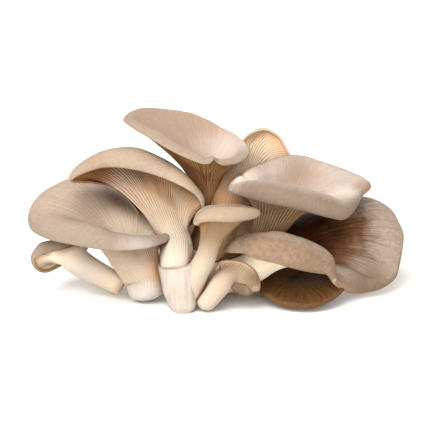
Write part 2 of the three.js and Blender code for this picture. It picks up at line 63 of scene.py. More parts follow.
# Fruiting bodies, in millimetres and degrees.
# Stem: foot, neck and the radii foot_r, mid_r and neck_r. heel: how round the foot is. bend:
# how far the neck leans out of the stem's line. upright: how far the stem starts straight up.
# Cap: aim is the way it opens. flare: 1 a flat spread margin, 0 a straight cone, less than 0
# a bell. reach: how far the margin's own direction carries inwards. fill: how far the cap's
# middle stands above its funnel. flesh: thickness of the cap just inside its margin.
# Margin: rim holds points on its crest, each with its roll radius and, where it differs from
# the body's curl, the degrees that it rolls over there. lip: thickness of its thin edge.
# Gills: gills is how many reach the margin and depth the height of an edge over the valley.
# throat: how far they follow the stem. ribs: how strongly they stand out below the margin.
# Finish: the values of FINISH that this body has otherwise. halfway_tone: tone between the cap
# and its middle. crest: tone of the outer roll. Without them these take the cap's own tones.
BODIES = {
    "left_fan": dict(
        fibrous=0.18, ribs=1.5, shelter_shade=0.5, gills=192, depth=0.6, flesh=2.4,
        foot=(-32, -17, 6), foot_r=9, mid_r=9.8, neck=(-33.9, -15.5, 12.5), neck_r=10.4,
        aim=(-0.45, 0.1, 0.85), flare=0.65, throat=0.45, curl=105, heel=0.6,
        rim=[
            (-89, -8, 36.5, 4), (-84.5, 8, 43.5, 2.5), (-70.5, 22, 49, 2.5), (-54.5, 33, 47, 2.5),
            (-37.5, 24, 37.5, 2.5), (-27.5, 6, 31, 2.5), (-21, -14, 31.5, 3), (-31, -30, 32.5, 6),
            (-47.5, -38, 33.5, 7), (-64, -36, 35, 7), (-80.5, -24, 35, 5.5),
        ],
    ),
    "centre_small": dict(
        gills=72, depth=0.3, flesh=3.8, lip=3.4, ribs=0.9,
        foot=(-12.8, -26.5, 9), foot_r=8.2, mid_r=5.4, neck=(-2.9, -30, 30), neck_r=4.7,
        aim=(0.22, 0, 1), flare=0.12, throat=0.3, reach=0.2, curl=115, fill=14,
        rim=[
            (-10.2, -34.5, 45, 4.4, 70), (-8.2, -28, 47.2, 3, 75), (-3.5, -22, 48, 2.6),
            (4.5, -18, 47.6, 2.6), (13, -18, 47.4, 2.4), (18.5, -22, 47.2, 2),
            (20.6, -29, 47.4, 2.6), (15.5, -37, 49.4, 4.6),
            (8, -42, 50.5, 5.8), (-1.5, -42.5, 50.7, 6, 112), (-8, -40.5, 48.4, 5.4, 95),
        ],
    ),
    "front_hood": dict(
        shelter_shade=0.3, gills=72, depth=0.3, flesh=1.8, lip=1.4, ribs=0.8,
        foot=(-4.6, -33, 3.6), foot_r=4.2, mid_r=4.6, neck=(3, -28.8, 12.2), neck_r=5.2,
        aim=(0.5, 0.68, 0.54), flare=-0.3, throat=0.5, reach=0.3, curl=60, heel=0.7,
        rim=[
            (0.3, -25, 20.1, 1.8), (2.8, -23, 22, 1.8), (7, -22, 22.9, 1.8), (13, -22, 21.9, 1.8),
            (17.6, -23, 19.2, 2), (20.6, -26, 15.4, 2.4), (21.5, -29, 11.4, 2.4, 110),
            (20.8, -31, 10.4, 2.2, 140), (18, -32, 10, 2, 150), (14.5, -31, 10.2, 2, 120),
            (9, -28, 8.5, 1.5), (2, -26, 8, 1.5), (-1, -23, 13, 1.5),
        ],
    ),
    "left_arched": dict(
        ribs=1.3, gills=192, depth=0.6, flesh=2.4,
        foot=(-17.8, -24.5, 17), foot_r=7.4, mid_r=8.3, neck=(-19.5, -9, 28.5), neck_r=7.6,
        upright=0.9, aim=(-0.35, 0.6, 0.72), flare=0.9, throat=0.35, curl=128,
        rim=[
            (-5, -9, 44, 2.2), (-7.5, -8, 52, 4.6), (-15.5, -6, 59.2, 8), (-27, -5, 64.4, 8.5),
            (-40, -5, 67.7, 8.5), (-53.5, -6, 66.8, 6.5), (-64, -6, 62.2, 4.5), (-69, -2, 56, 2.5),
            (-60, 7, 53, 2), (-49.5, 15, 48, 2), (-40.5, 14, 39.5, 2), (-32, 9, 29.5, 2),
            (-21, 11, 25.5, 2), (-10.5, 8, 32.5, 2),
        ],
    ),
    "right_brown": dict(
        # The tones from the cap into its middle darken to near black here: painted shade deep in the
        # hollow under the pale cap, over a darker brown middle
        hollow=(0.89, 0.952), halfway_tone="#5E3E26", crest="#7A6655", fibrous=0.3, shelter_shade=0, mottle=0.18,
        gloss=0.05, ribs=1.1, gills=192, depth=0.6, flesh=2.4,
        foot=(-10, -14, 8), foot_r=8, mid_r=7.5, neck=(20.5, -14, 18), neck_r=8,
        aim=(0.75, 0.15, 0.6), flare=0.6, throat=0.4, curl=105,
        rim=[
            (5.5, -24, 30, 3.6, 140), (13.5, -32.5, 34.4, 6.2, 150), (21.5, -36.6, 34.2, 7.8, 150),
            (30, -38, 32.8, 8.4, 150), (38.2, -37.8, 29.6, 8.2, 150), (46, -35.2, 25.6, 7.4, 150),
            (54, -31, 21, 5.5, 150), (55.8, -28, 16, 3, 140), (57.5, -25, 11.3, 4),
            (62.5, -20, 6.5, 5), (71.5, -12, 3, 5), (79, -8, 3.5, 4), (85.5, -3, 6.5, 3),
            (88.5, 2, 11.5, 3), (91, 9, 23, 3), (88, 17, 30.5, 2.5), (82.5, 24, 35, 2.5),
            (73.5, 30, 37, 2.5), (60.5, 33, 35.5, 2.5), (46.5, 30, 31.5, 2.5), (34, 22, 26.5, 2.5),
            (24, 6, 26, 2.5), (13.5, -10, 29, 3),
        ],
    ),
    "top_funnel": dict(
        ribs=1.8, fibrous=0.09, gills=192, depth=0.6, flesh=2.4,
        foot=(-13, -6, 6), foot_r=7, mid_r=6, neck=(-3.5, 12, 43.5), neck_r=5.5,
        aim=(-0.2, 0, 1), flare=0.02, throat=0.4, curl=95,
        rim=[
            (-44, 15, 82.5, 3), (-38.5, 30, 83, 2.5), (-27, 42, 80.5, 2.5), (-13.5, 48, 77, 2.5),
            (1.5, 46, 71.5, 2.5), (12.5, 34, 67.5, 2.5), (16.5, 16, 66.5, 3), (13, 0, 65.5, 4),
            (5, -9.3, 65.8, 4), (1.2, -10.8, 67.2, 2.6), (-0.8, -12.6, 68.8, 2.4),
            (-3.4, -14.4, 67.2, 4.6), (-8, -15, 68.3, 5), (-20, -13, 73.5, 5),
            (-30.5, -6, 78, 5), (-39, 2, 81, 4),
        ],
    ),
    "right_pale": dict(
        shelter_shade=0.6, ribs=2.4, fibrous=0.14, gills=192, depth=0.6, flesh=2.4,
        foot=(-9, -2, 7), foot_r=7, mid_r=7.5, neck=(24.5, 6, 25), neck_r=8,
        aim=(0.35, 0, 0.9), flare=0.6, throat=0.4, curl=105,
        rim=[
            (7, -8, 53.5, 4), (9.5, -3, 57, 2.8), (12, 1.5, 56.2, 2), (14.4, 5.5, 58.4, 2.2),
            (22.5, 18, 59.6, 2.5), (36.5, 30, 59.5, 2.5),
            (49, 34, 56.5, 2.5), (61.5, 32, 52.5, 2.5), (71.5, 24, 49.5, 3), (75.2, 12, 49, 2.5),
            (70, 1, 47, 2.5), (67, -9, 45, 4, 120), (62.5, -16.5, 43.8, 5.3, 135),
            (56, -20.5, 46.2, 6, 135), (49, -23, 48.8, 6.2, 135), (39.5, -24, 51.8, 6.2, 135),
            (26.5, -22, 54, 6.2, 135), (14.5, -17, 55, 5.6, 130),
        ],
    ),
    "low_brown": dict(
        fibrous=0.6, mottle=0.12, gloss=0.06, gills=96, depth=0.4, flesh=1.6,
        foot=(-9, -5, 9), foot_r=6, mid_r=4.5, neck=(36, -8, 4.5), neck_r=3.5,
        aim=(0.2, -0.55, 0.8), flare=0.9, throat=0.2, curl=80, fill=3,
        rim=[
            (21, -20, 7, 1.5), (25, -28, 4.5, 1.8), (31.5, -33, 2.8, 2), (39.5, -35, 2.2, 2),
            (48, -34, 2.8, 2), (56, -29, 5, 2), (61.5, -20, 7, 2), (63.5, -8, 9, 2),
            (59, 0, 12, 2), (48.5, 4, 14, 2), (34, 4, 14, 2), (23, -4, 11, 2),
        ],
    ),
    "back_low": dict(
        gills=144, depth=0.6, flesh=2.4,
        foot=(-12, -2, 6), foot_r=7, mid_r=6.5, neck=(0, 18, 20), neck_r=6,
        aim=(0, 0.8, 0.5), flare=0.9, throat=0.35, curl=100,
        rim=[
            (-22, 38, 20, 3), (-18, 34, 34, 3), (-5, 30, 43, 3), (10, 32, 42, 3), (21, 37, 32, 3),
            (25, 42, 18, 3), (18, 48, 6, 4), (3, 51, 1.5, 4), (-12, 47, 5, 4),
        ],
    ),
    "back_top": dict(
        shelter_shade=0, ribs=1.6, gills=108, depth=0.45, flesh=1.6,
        foot=(-3, 2, 10), foot_r=8, mid_r=9, neck=(9.5, 20, 50), neck_r=8.2,
        aim=(0.3, 0.8, 0.5), flare=0.9, throat=0.3, curl=80,
        rim=[
            (12, 38, 64.5, 2), (17, 40, 68.5, 2), (24.5, 41, 70.5, 2), (31.5, 40, 67.5, 2),
            (35.5, 38, 62.5, 2), (38, 36, 56, 2), (37, 34, 46, 2), (27, 32, 38, 2),
            (14, 31, 35, 2), (3, 33, 41, 2), (1, 36, 52, 2), (5, 37, 60, 2),
        ],
    ),
    "small_left": dict(
        shelter_shade=0, gills=72, depth=0.3, flesh=1.8, ribs=0.7,
        foot=(-44.2, -13.5, 6.6), foot_r=4.6, mid_r=6, neck=(-67.5, -8, 19), neck_r=6.6, bend=0.2,
        aim=(-0.6, 0.55, 0.58), flare=0.8, throat=0.3, curl=125, heel=0.1,
        rim=[
            (-60, 8, 24, 2), (-70, -2, 26, 3.8, 140), (-80, -7, 25, 3.8, 140), (-85, -8, 22.5, 3.4, 135),
            (-87.5, -8, 18.5, 2.5), (-86, -5, 12.5, 2), (-82, 4, 8.5, 1.5), (-75, 13, 9.5, 1.5),
            (-65, 15, 15, 2),
        ],
    ),
}

# Stump sections: height, middle x, middle y, half width, half depth
STUMP = [
    (0, -15, -32, 4, 4),
    (2.5, -15, -30, 6.5, 7),
    (8, -16, -25, 8.5, 12),
    (16, -16.5, -21, 9.5, 14),
    (21, -17, -18, 10, 16),
]
STUMP_TOP = STUMP[-1][0]
STUMP_SLOPE = 0.18  # how much the cut top rises towards +X, per millimetre
STUMP_SQUARE = 0.85  # 1 a round block, less a squarer one

# Finish of the flesh where a body names nothing else. fibrous: how strongly fibrils streak
# and furrow the cap. mottle: how much lighter and darker the flecks of the rolled band are.
# shelter_shade: how much painted shade darkens the flesh where it is sheltered. gloss: specular level.
# hollow: where the cap's tone ends and its middle's begins, as shares of the whole growth scale.
FINISH = {"fibrous": 0.2, "mottle": 0.09, "shelter_shade": 0.8, "gloss": 0.14, "hollow": (0.95, 0.995)}
SHADE_TONE = "#8A5A2C"  # painted shade: the share of its colour that sheltered flesh keeps, darker and more orange

# Flesh tones of each body: foot, stem, gills near the stem, painted shade on the gills near the
# margin and inside the roll, painted shade in the valleys between the gills, thin edge of the margin,
# rolled band, cap and middle of the cap.
TONES = {
    "left_fan": (
        "#B9B3AE", "#B1A597", "#B1A08E", "#A8845C", "#8F6C47", "#AB9A87", "#8B7D6F", "#A59283", "#CBBCA4",
    ),
    "centre_small": (
        "#B5A094", "#B5A796", "#8B7459", "#834F20", "#92704C", "#B9AA97", "#9B8975", "#97836D", "#9A8770",
    ),
    "front_hood": (
        "#B4A598", "#B3A291", "#A7937E", "#C4A688", "#93826F", "#A5917A", "#978672", "#6E5C4B", "#5F4D3C",
    ),
    "left_arched": (
        "#C0B5A6", "#B8ADA0", "#AC9985", "#A36D37", "#825C32", "#AB957C", "#9B8A79", "#998574", "#AE9C87",
    ),
    # Its middle tone is near black: painted shade in the cap's hollow, over a darker brown middle
    "right_brown": (
        "#B8AB99", "#B6A793", "#FFF3DC", "#8A6A48", "#E6D3B4", "#A28A72", "#937D69", "#97887B", "#2A1204",
    ),
    # Its foot and stem tones are darker brown: painted shade, as the stem stands deep in the cluster under
    # the funnel
    "top_funnel": (
        "#8C7254", "#8C7254", "#AD875E", "#7A5634", "#653D1C", "#A6927E", "#928172", "#9E8675", "#CDC1B9",
    ),
    # Its foot and stem tones are dark brown: painted shade where the stem stands hidden deep in the
    # cluster
    "right_pale": (
        "#6E543A", "#5E452C", "#AE9474", "#8A6642", "#533115", "#A99784", "#7A6A5D", "#B1A297", "#B2A39B",
    ),
    # All its tones are dark: a brown cap, darkened further as painted shade under the brown cap above it
    "low_brown": (
        "#A28F79", "#9B846A", "#92795E", "#5E4228", "#5F452C", "#604529", "#594129", "#55371C", "#402610",
    ),
    "back_low": (
        "#B6A794", "#B3A189", "#AE997C", "#8A6642", "#705232", "#A28C76", "#97816D", "#917A66", "#A28F79",
    ),
    "back_top": (
        "#8A6848", "#AA8460", "#C2B19B", "#BC936F", "#8F6C44", "#B6AA97", "#A69A8C", "#977F69", "#9F8972",
    ),
    "small_left": (
        "#C9B59B", "#AFA69C", "#DBC9B4", "#AF8A60", "#846C4F", "#A28E77", "#88796A", "#7F7161", "#8D7964",
    ),
}
# Broad patches, mostly painted light and painted shade and some paler or darker flesh: centre and radius
# in millimetres, tone
LIGHT_SHADE_AND_TONE_PATCHES = {
    "left_fan": [
        # painted shade on the stem's right side, beside the arched cap's stem
        ((-27, -19, 16), 9, "#C2935C"),
        # paler middle of the cap, lifted further as painted light under the arched cap's overhang
        ((-41, -1, 34), 15, "#D0BFA9"),
        ((-60, 0, 43), 14, "#837163"),
        # painted shadow of the arched cap on this cap
        ((-48, 13, 44), 14, "#66452C"),
        ((-33, -37, 31), 17, "#B3A9A3"),
    ],
    "left_arched": [
        # warm orange of the gills just under the rolled band: painted shade
        ((-27, 6, 54.5), 13, "#DDB48A"),
        # painted light on the shaded right part of the rolled band
        ((-14, -5, 59), 11, "#B7A28D"),
        # painted shade in the recess under the margin
        ((-56, 0, 58), 13, "#6E421D"),
        # painted shade at the cap's right end
        ((-9, -5, 47), 9, "#998066"),
    ],
    "top_funnel": [
        ((6, 26, 65), 22, "#BDB0A8"),
    ],
    "right_pale": [
        # warm tan on the shaded gills under the cap: painted shade
        ((41, -1, 40), 14, "#C9A27C"),
        # painted light on the shaded left lobe of the cap
        ((14, -2, 55), 16, "#DCCFC3"),
        ((60, 0, 49), 12, "#C3B5AB"),
        ((41, 21, 54), 16, "#937E6E"),
        ((72, 6, 50), 9, "#8F7665"),
    ],
    "front_hood": [
        # browner right part of the hood, darkened further as painted shade
        ((19, -27, 14.5), 7.5, "#6A4E38"),
    ],
    "centre_small": [
        # painted shade on the right end of the cap
        ((14, -25, 50), 11, "#755038"),
    ],
    "right_brown": [
        ((56.6, -28.6, 13), 2.4, "#E8DCCB"),
        ((74, -12, 9), 16, "#6D5C4E"),
    ],
    "small_left": [
        ((-43.5, -16.5, 6.5), 6, "#705431"),
        # painted shade inside the lower margin of the cap
        ((-78, -3, 14), 7, "#261A10"),
    ],
}


# ---------------------------------------------------------------- growth curves
def unit(v):
    return v / np.maximum(np.linalg.norm(v, axis=-1, keepdims=True), 1e-9)


def dot(a, b):
    return np.sum(a * b, axis=-1, keepdims=True)


def ease(a, b, x):
    """0 below a, 1 above b, smooth between."""
    t = np.clip((x - a) / (b - a), 0, 1)
    return t * t * (3 - 2 * t)


def round_the_margin(points, t):
    """Points of the closed curve through the given ones, at shares t of the way round."""
    n = len(points)
    x = (t % 1.0) * n
    i = np.floor(x).astype(int)
    f = (x - i)[:, None]
    a, b, c, d = (points[(i + k) % n] for k in (-1, 0, 1, 2))
    square, cube = 2 * a - 5 * b + 4 * c - d, 3 * b - a - 3 * c + d
    return 0.5 * (2 * b + (c - a) * f + square * f**2 + cube * f**3)


def bezier(a, b, c, d, s):
    """Point of the curve from a to d at s, with b and c as its handles."""
    q = 1 - s
    return a * q**3 + 3 * b * q * q * s + 3 * c * q * s * s + d * s**3


def heading(a, b, c, d, s):
    """Unit direction of the bezier at s."""
    q = 1 - s
    return unit(3 * q * q * (b - a) + 6 * q * s * (c - b) + 3 * s * s * (d - c))


def ring_mean(values, reach):
    """Mean over neighbouring columns of a ring, with weights that fall off linearly."""
    total = values.copy()
    weight = 1.0
    for k in range(1, reach + 1):
        w = 1 - k / (reach + 1)
        total = total + w * (np.roll(values, k, 0) + np.roll(values, -k, 0))
        weight += 2 * w
    return total / weight


def swing(v, a, b):
    """v turned by the least turn that takes direction a to direction b."""
    k = np.cross(a, b)
    return v * float(a @ b) + np.cross(k, v) + np.outer(v @ k, k) / (1 + float(a @ b))


def margin(body, columns):
    """Frames round the margin, one per column: where it starts at the neck, where its gills
    end, and the directions in which its flesh and its roll stand."""
    aim = unit(np.array(body["aim"], float))
    neck = np.array(body["neck"], float)
    side = unit(np.cross([0.3, 1, 0.2], aim))
    front = np.cross(aim, side)
    rim = np.array([(*point, body["curl"])[:5] for point in body["rim"]], float)
    from_neck = rim[:, :3] - neck
    if sum(np.cross(from_neck, np.roll(from_neck, -1, 0)) @ aim) < 0:
        rim = rim[::-1]
    steps = 240
    way = np.arange(steps + 1) / steps
    crest = round_the_margin(rim[:, :3], way)
    share = np.concatenate([[0], np.cumsum(np.linalg.norm(np.diff(crest, axis=0), axis=1))])
    share /= share[-1]
    angle = np.unwrap(np.arctan2((crest - neck) @ front, (crest - neck) @ side))
    turned = np.minimum(np.maximum.accumulate(angle - angle[0]), 2 * math.pi)
    uneven = ring_mean((turned - 2 * math.pi * share)[:-1, None], 12)[:, 0]
    around = angle[0] + 2 * math.pi * share + 0.92 * np.append(uneven, uneven[0])
    # the columns stand partly at even lengths of the crest, partly at even angles
    by_length = 0.65
    travel = by_length * share + (1 - by_length) * (around - around[0]) / (2 * math.pi)
    chord = crest[:-1] - neck
    flat = unit(chord - (chord @ aim)[:, None] * aim)
    lead = unit((1 - body["flare"]) * unit(chord) + body["flare"] * flat)
    lead = unit(ring_mean(lead, int(steps * 0.06)))
    lead = np.vstack([lead, lead[:1]])

    u = np.arange(columns) / columns
    t = np.interp(u, travel, way)
    out = unit(np.stack([np.interp(t, way, lead[:, k]) for k in range(3)], 1))
    turn = np.interp(t, way, around)[:, None]
    spoke = side * np.cos(turn) + front * np.sin(turn)
    crest = round_the_margin(rim, t)
    roll = crest[:, 3:4]
    curl = np.radians(crest[:, 4:])
    crest = crest[:, :3]
    small = 1e-3
    along = unit(round_the_margin(rim[:, :3], t + small) - round_the_margin(rim[:, :3], t - small))
    square = unit(out - dot(out, along) * along)
    up = np.cross(square, along)
    flesh = np.minimum(body["flesh"], roll * 0.8)
    top = crest - roll * square + roll * up
    start = neck + body["neck_r"] * spoke
    end = top - up * flesh
    length = np.linalg.norm(end - start, axis=1, keepdims=True)
    rise = ((end - start) @ aim)[:, None]
    lift = body["throat"] * np.maximum(0.25 * length, np.minimum(length, 1.3 * rise))
    reach = body.get("reach", 0.35)
    core = np.minimum(0.75 * body["neck_r"], np.maximum(0.28 * length, flesh))
    core = ring_mean(core, max(1, int(columns * 0.05)))
    under = (start, start + aim * lift, end - out * reach * length, end)
    return dict(
        aim=aim, neck=neck, spoke=spoke, square=square, up=up, roll=roll, flesh=flesh, top=top,
        core=core, curl=curl, under=under, u=u,
    )


def underside(rim, s):
    """Points and upward normals of the underside, at share s of the way to the margin."""
    points = bezier(*rim["under"], s)
    across = np.roll(points, -1, 0) - np.roll(points, 1, 0)
    normals = unit(np.cross(heading(*rim["under"], s), across))
    normals = unit(ring_mean(normals, max(1, int(len(points) * 0.04))))
    near = max(0.0, (s - 0.8) / 0.2)
    return points, unit(normals * (1 - near) + rim["up"] * near)


def gill_edges(u, ring, most):
    """1 on the edge of a gill, 0 in the valley. New gills start between the old ones
    wherever these stand too far apart, so the spacing stays the same down to the stem."""
    stretch = np.linalg.norm(np.roll(ring, -1, 0) - np.roll(ring, 1, 0), axis=1) * len(u) / 2
    stretch = ring_mean(stretch[:, None], len(u) // 40)[:, 0]
    fewest = 8
    level = np.minimum(np.log2(np.maximum(stretch / GILL_SPACING, fewest) / most), 0)
    coarse = np.floor(level)
    grown = ease(0.25, 0.75, level - coarse)

    def edge(number):
        x = u * number
        return 1 - ease(0.08, 0.5, np.abs(x - np.round(x)))

    finer = np.minimum(coarse + 1, 0)
    return (1 - grown) * edge(most * 2.0**coarse) + grown * edge(most * 2.0**finer)


def unevenness(points, wave, seed):
    """Gentle hills of that wavelength in millimetres, between about -1 and 1."""
    chance = np.random.default_rng(seed)
    total = np.zeros(points.shape[:-1])
    waves = 7
    for _ in range(waves):
        direction = unit(chance.normal(size=3)) * (2 * math.pi / (wave * chance.uniform(0.7, 1.6)))
        total += np.sin(points @ direction + chance.uniform(0, 6.3))
    return total / (waves / 2)


def body_rings(body, seed):
    """Rings of the whole skin from the foot to the middle of the cap, with the growth
    coordinate of each ring (whole numbers part the stretches) and the gill relief."""
    columns = COLUMNS_PER_GILL * body["gills"]
    rim = margin(body, columns)
    u = rim["u"]
    aim, neck = rim["aim"], rim["neck"]
    foot = np.array(body["foot"], float)
    spine = neck - foot
    length = np.linalg.norm(spine)
    upright = body.get("upright", 0)
    first = unit(spine) * (1 - upright) + np.array([0, 0, upright])
    stem = (foot, foot + first * 0.33 * length, neck - aim * body.get("bend", 0.35) * length, neck)
    curl = rim["curl"]
    ribs = body.get("ribs", 1)
    heel = body.get("heel", 0.5) * body["foot_r"]
    radii = [body["foot_r"], body["mid_r"], body["neck_r"]]
    rings, growth, relief = [], [], []

    def add(ring, at, edges=None):
        rings.append(ring)
        growth.append(at)
        relief.append(np.ones(columns) if edges is None else edges)

    def stem_ring(q, radius, drop):
        towards = heading(*stem, q)
        return bezier(*stem, q) - drop * towards + radius * swing(rim["spoke"], aim, towards)

    def cut_gills(ring, way_in, edges, at, share=1.0):
        add(ring + way_in * (share * (1 - edges) * body["depth"])[:, None], at, edges)

    for k in range(ROWS["foot"]):
        s = k / ROWS["foot"]
        a = s * math.pi / 2
        add(stem_ring(0, body["foot_r"] * math.sin(a), heel * math.cos(a)), s)
    for k in range(ROWS["stem"]):
        q = k / ROWS["stem"]
        ring = stem_ring(q, np.interp(q, [0, 0.5, 1], radii), 0)
        edges = gill_edges(u, ring, body["gills"])
        inward = unit(bezier(*stem, q) - ring)
        edges = 1 - (1 - edges) * ribs * (0.12 + 0.3 * q)
        cut_gills(ring, inward, edges, 1 + q)
    for k in range(ROWS["gills"]):
        s = k / ROWS["gills"]
        ring, normals = underside(rim, s)
        edges = gill_edges(u, ring, body["gills"])
        edges = 1 - (1 - edges) * min(1.0, ribs * (0.25 + 1.1 * s**1.4))
        cut_gills(ring, normals, edges, 2 + s)
    hub = rim["top"] - rim["roll"] * rim["up"]
    thin = np.minimum(body.get("lip", LIP), rim["flesh"])

    def roll_point(a, radius):
        return hub + radius * (np.sin(a) * rim["square"] + np.cos(a) * rim["up"])

    for k in range(ROWS["inner roll"]):
        s = k / ROWS["inner roll"]
        thick = rim["flesh"] + (thin - rim["flesh"]) * s
        ring = roll_point(s * curl, rim["roll"] - thick)
        edges = gill_edges(u, ring, body["gills"])
        edges = 1 - (1 - edges) * (1 - ease(0.35, 0.9, s))
        cut_gills(ring, unit(ring - hub), edges, 3 + s, 0.8)
    for k in range(ROWS["edge"]):
        a = k / ROWS["edge"] * math.pi
        over = np.cos(curl) * rim["square"] - np.sin(curl) * rim["up"]
        ring = roll_point(curl, rim["roll"] - thin / 2 - thin / 2 * math.cos(a))
        add(ring + over * thin / 2 * math.sin(a), 4 + a / math.pi)
    for k in range(ROWS["outer roll"]):
        s = k / ROWS["outer roll"]
        add(roll_point((1 - s) * curl, rim["roll"]), 5 + s)

    def cap_ring(s):
        points, normals = underside(rim, s)
        return points + normals * (rim["flesh"] + (rim["core"] - rim["flesh"]) * (1 - s) ** 1.5)

    middle = cap_ring(NECK_SHARE).mean(0)
    for k in range(ROWS["cap"] + 1):
        v = k / ROWS["cap"]
        w = v**3  # how far the ring has drawn together on the middle
        filled = body.get("fill", 0) * v * v * (3 - 2 * v)
        add(cap_ring(1 - v * (1 - NECK_SHARE)) * (1 - w) + middle * w + aim * filled, 6 + v)

    rings, growth, relief = np.array(rings), np.array(growth), np.array(relief)
    # The flesh is never quite even: long low hills over the whole skin, none at the poles
    calm = ease(0, 1, growth) * (1 - ease(len(ROWS) - 0.2, len(ROWS), growth))
    hills = unevenness(rings, 26, seed) * 0.45 + unevenness(rings, 11, seed + 50) * 0.18
    lean = unit(rings - neck)
    rings = rings + lean * (hills * calm[:, None])[..., None]
    low = rings[..., 2]
    pressed = FLOOR_EASE * np.exp((low - FLOOR_EASE) / FLOOR_EASE)
    rings[..., 2] = np.where(low < FLOOR_EASE, pressed, low)
    return rings, growth, relief


def outward(rings):
    """Outward unit normals of a closed skin of rings."""
    along = np.gradient(rings, axis=0)
    across = np.roll(rings, -1, 1) - np.roll(rings, 1, 1)
    normals = unit(np.cross(across, along))
    centre = rings.mean((0, 1))
    size = np.linalg.norm(np.cross(across, along), axis=-1)
    return normals if np.sum(dot(normals, rings - centre)[..., 0] * size) > 0 else -normals


# Shelter, which sets where the flesh is darkened as painted shade, is felt out from a point just
# above the skin, in even directions, as far as SHELTER_FAR millimetres, and worked out on a coarse grid of
# each skin.
SHELTER_WAYS = 44
SHELTER_FAR = 55.0
SHELTER_LIFT = 0.9
SHELTER_GRAZE = 0.12  # directions that run nearer to the skin than this cosine are left out
SHELTER_COLUMNS = 80


def shelter(skins):
    """For each skin, how much of the air around each point its own folds and its neighbours
    close off: 0 in the open, 1 deep between the caps."""
    def skipped(columns):
        return max(1, columns // SHELTER_COLUMNS)

    coarse = {name: rings[::2, :: skipped(rings.shape[1])] for name, rings in skins.items()}
    corners, faces = [], []
    for rings in coarse.values():
        rows, columns = rings.shape[:2]
        cell = np.arange((rows - 1) * columns)
        start = len(corners) + cell
        beside = np.where(cell % columns == columns - 1, start + 1 - columns, start + 1)
        faces.extend(np.stack([start, beside, beside + columns, start + columns], 1).tolist())
        corners.extend(rings.reshape(-1, 3).tolist())
    cluster = BVHTree.FromPolygons(corners, faces)
    # directions spread evenly over a ball, in a golden spiral
    k = np.arange(SHELTER_WAYS) + 0.5
    height = 1 - 2 * k / SHELTER_WAYS
    turn = k * math.pi * (3 - math.sqrt(5))
    across = np.sqrt(1 - height**2)
    ways = np.stack([across * np.cos(turn), across * np.sin(turn), height], 1)
    closed = {}
    for name, rings in coarse.items():
        normals = outward(rings)
        start = rings + normals * SHELTER_LIFT
        share = np.zeros(rings.shape[:2])
        for r in range(rings.shape[0]):
            facing = normals[r] @ ways.T
            for c in range(rings.shape[1]):
                origin = Vector(start[r, c])
                total = hidden = 0.0
                for way in np.nonzero(facing[c] > SHELTER_GRAZE)[0]:
                    weight = facing[c, way]
                    total += weight
                    distance = cluster.ray_cast(origin, Vector(ways[way]), SHELTER_FAR)[3]
                    if distance is not None:
                        hidden += weight * (1 - distance / SHELTER_FAR)
                share[r, c] = hidden / total if total else 0
        share = ring_mean(share.T, 1).T
        rows, columns = skins[name].shape[:2]
        u = np.arange(columns) / columns
        known = np.arange(rings.shape[1]) * (skipped(columns) / columns)
        known = np.append(known, 1.0)
        wide = np.array([np.interp(u, known, np.append(row, row[0])) for row in share])
        at = np.arange(0, rows, 2)
        filled_in = [np.interp(np.arange(rows), at, wide[:, i]) for i in range(columns)]
        closed[name] = np.array(filled_in).T
    return closed


# ---------------------------------------------------------------- skins
def closed_skin(name, rings, growth, relief, closed):
    """One closed mesh: a grid whose rows are laid on the rings, its seam and poles merged."""
    rows, columns = rings.shape[:2]
    weave = bmesh.new()
    weave.loops.layers.uv.new("growth")
    bmesh.ops.create_grid(weave, x_segments=columns, y_segments=rows - 1, size=1, calc_uvs=True)
    mesh = bpy.data.meshes.new(name)
    weave.to_mesh(mesh)
    weave.free()
    flat = np.empty(len(mesh.vertices) * 3)
    mesh.vertices.foreach_get("co", flat)
    flat = flat.reshape(-1, 3)
    column = np.round((flat[:, 0] + 1) / 2 * columns).astype(int)
    row = np.round((flat[:, 1] + 1) / 2 * (rows - 1)).astype(int)
    place = (rings[row, column % columns] + MIDDLE) * MM
    mesh.vertices.foreach_set("co", place.astype(np.float32).ravel())
    corner = np.empty(len(mesh.loops), dtype=np.int32)
    mesh.loops.foreach_get("vertex_index", corner)
    uv = np.stack([column[corner] / columns, growth[row[corner]] / len(ROWS)], 1)
    mesh.uv_layers["growth"].uv.foreach_set("vector", uv.astype(np.float32).ravel())
    edges = mesh.attributes.new("relief", "FLOAT", "POINT")
    edges.data.foreach_set("value", relief[row, column % columns].astype(np.float32))
    folds = mesh.attributes.new("shelter", "FLOAT", "POINT")
    folds.data.foreach_set("value", closed[row, column % columns].astype(np.float32))
    sewn = bmesh.new()
    sewn.from_mesh(mesh)
    bmesh.ops.remove_doubles(sewn, verts=sewn.verts, dist=1e-7)
    bmesh.ops.recalc_face_normals(sewn, faces=sewn.faces)
    for face in sewn.faces:
        face.smooth = True
    sewn.to_mesh(mesh)
    sewn.free()
    piece = bpy.data.objects.new(name, mesh)
    bpy.context.scene.collection.objects.link(piece)
    return piece


